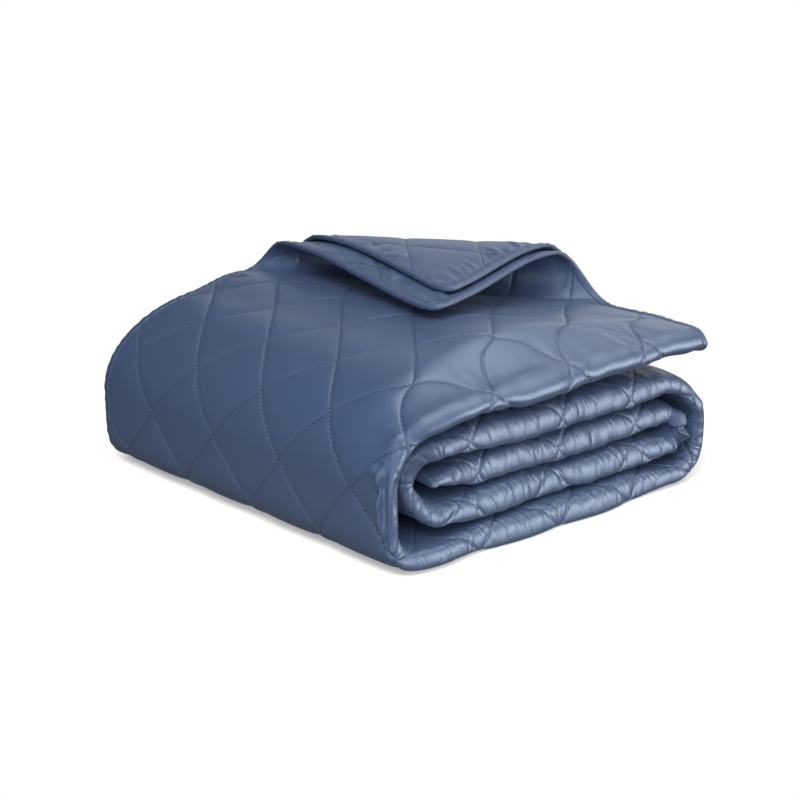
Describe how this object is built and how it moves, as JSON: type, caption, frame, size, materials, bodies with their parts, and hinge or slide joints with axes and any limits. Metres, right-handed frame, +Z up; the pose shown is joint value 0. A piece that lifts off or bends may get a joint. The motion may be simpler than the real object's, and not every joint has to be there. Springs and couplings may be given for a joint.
{
  "type": "folded quilt",
  "caption": "Satin bed quilt with diamond quilting and a narrow bound edge, folded in quarters, rolled flat into layers, with one free corner turned back over the top.",
  "frame": {"origin": "middle of the underside, on the surface that the quilt rests on", "axes": "+Z up, +X along the layers towards the free end of the top layer, +Y along the roll from its folded side to its open side"},
  "size_m": [0.5258, 0.5553, 0.2737],
  "materials": {
    "quilted_satin": "satin weave, slate blue, soft sheen",
    "binding_satin": "satin weave, slate blue, sewn over the edge"
  },
  "bodies": {
    "root": {"panel": "quilted_satin", "binding": "binding_satin"}
  },
  "joints": []
}
